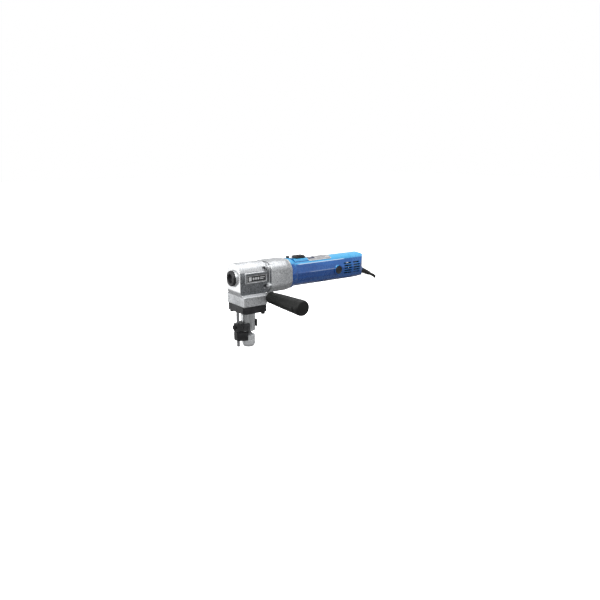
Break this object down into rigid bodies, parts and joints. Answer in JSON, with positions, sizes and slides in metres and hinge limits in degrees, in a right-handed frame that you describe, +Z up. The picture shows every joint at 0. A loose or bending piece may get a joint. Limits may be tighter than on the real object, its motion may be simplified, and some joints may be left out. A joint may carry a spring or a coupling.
{
  "type": "electric nibbler",
  "caption": "Corded hand nibbler for sheet metal: cast head with punch and slotted die holder, gear case, barrel motor housing, ribbed side grip, coiled mains cord.",
  "frame": {"origin": "centre of the tool's footprint box (without the cord) at the level of the die holder's underside", "axes": "+X along the motor axis from the head towards the cord, +Z up along the punch axis, -Y towards the side grip"},
  "size_m": [0.4542, 0.2992, 0.1924],
  "materials": {
    "cast_aluminium": "as-cast, fine grain",
    "machined_face": "turned bright",
    "black_metal": "blackened steel, satin",
    "tool_steel": "ground",
    "bearing_steel": "polished",
    "sintered_bronze": "sintered",
    "blue_housing": "glossy moulded",
    "black_plastic": "fine texture",
    "label": "printed film, blank",
    "black_rubber": "matt",
    "cord_jacket": "matt PVC",
    "laminations": "varnished steel",
    "copper": "copper",
    "brass": "drawn",
    "carbon": "pressed carbon"
  },
  "bodies": {
    "tool_frame": {"head_housing": "cast_aluminium", "gear_case": "cast_aluminium", "front_cap_ring": "machined_face", "die_holder": "machined_face", "base_plate": "black_metal", "base_bolt_1": "black_metal", "base_bolt_2": "black_metal", "base_bolt_3": "black_metal", "base_bolt_4": "black_metal", "front_bearing_cap": "black_metal", "post_lock_key": "black_metal", "clamp_arm": "black_metal", "side_plate": "black_metal", "gear_case_screw_1": "tool_steel", "gear_case_screw_2": "tool_steel", "gear_case_screw_3": "tool_steel", "gear_case_screw_4": "tool_steel", "die": "tool_steel", "guide_rod": "tool_steel", "grip_stud": "tool_steel", "crank_bearing_front": "bearing_steel", "crank_bearing_rear": "bearing_steel", "layshaft_bearing_front": "bearing_steel", "layshaft_bearing_rear": "bearing_steel", "motor_bearing_front": "bearing_steel", "motor_bearing_rear": "bearing_steel", "ram_bush": "sintered_bronze", "motor_housing": "blue_housing", "rear_cover": "blue_housing", "switch_body": "black_plastic", "rear_bearing_bracket": "black_plastic", "brush_cap_near": "black_plastic", "brush_cap_far": "black_plastic", "rating_label": "label", "side_grip": "black_rubber", "cord_guard": "black_rubber", "mains_plug": "black_rubber", "cord_lead": "cord_jacket", "cord_coil": "cord_jacket", "cord_tail": "cord_jacket", "stator_core": "laminations", "brush_holder_near": "brass", "brush_holder_far": "brass", "carbon_brush_near": "carbon", "carbon_brush_far": "carbon"},
    "armature": {"armature_shaft": "tool_steel", "armature_core": "laminations", "commutator": "copper", "cooling_fan": "black_plastic"},
    "layshaft_assembly": {"layshaft": "tool_steel", "layshaft_gear": "tool_steel"},
    "crank": {"crankshaft": "tool_steel", "crank_gear": "tool_steel", "eccentric_roller": "bearing_steel"},
    "ram_assembly": {"ram": "tool_steel", "punch": "tool_steel"},
    "switch_slider": {"switch_slide_button": "black_plastic"},
    "lock_button": {"lock_button": "black_plastic"},
    "guide_block": {"guide_block": "black_metal"},
    "clamp_knob": {"clamp_knob": "black_metal"}
  },
  "joints": [
    {"name": "armature_spin", "type": "hinge", "parent": "tool_frame", "child": "armature", "pos_m": [0.0363, 0.06175, 0.153], "axis": [1, 0, 0], "continuous": true},
    {"name": "layshaft_spin", "type": "hinge", "parent": "tool_frame", "child": "layshaft_assembly", "pos_m": [-0.0837, 0.07779, 0.15525], "axis": [1, 0, 0], "continuous": true},
    {"name": "crank_spin", "type": "hinge", "parent": "tool_frame", "child": "crank", "pos_m": [-0.1437, 0.06175, 0.1575], "axis": [1, 0, 0], "continuous": true},
    {"name": "ram_stroke", "type": "slide", "parent": "tool_frame", "child": "ram_assembly", "axis": [0, 0, 1], "range_m": [-0.0055, 0]},
    {"name": "switch_slide", "type": "slide", "parent": "tool_frame", "child": "switch_slider", "axis": [1, 0, 0], "range_m": [-0.008, 0]},
    {"name": "lock_button_press", "type": "slide", "parent": "tool_frame", "child": "lock_button", "axis": [0, 0, 1], "range_m": [-0.002, 0], "stiffness_N_per_m": 300, "springref_m": 0.001},
    {"name": "guide_block_slide", "type": "slide", "parent": "tool_frame", "child": "guide_block", "axis": [0, 0, 1], "range_m": [-0.012, 0]},
    {"name": "clamp_knob_turn", "type": "hinge", "parent": "tool_frame", "child": "clamp_knob", "pos_m": [-0.1817, 0.05715, 0.0485], "axis": [1, 0, 0], "range_deg": [0, 360]}
  ],
  "couplings": [
    {"joint": "layshaft_spin", "follows": "armature_spin", "ratio": -0.33333},
    {"joint": "crank_spin", "follows": "armature_spin", "ratio": 0.11111}
  ]
}
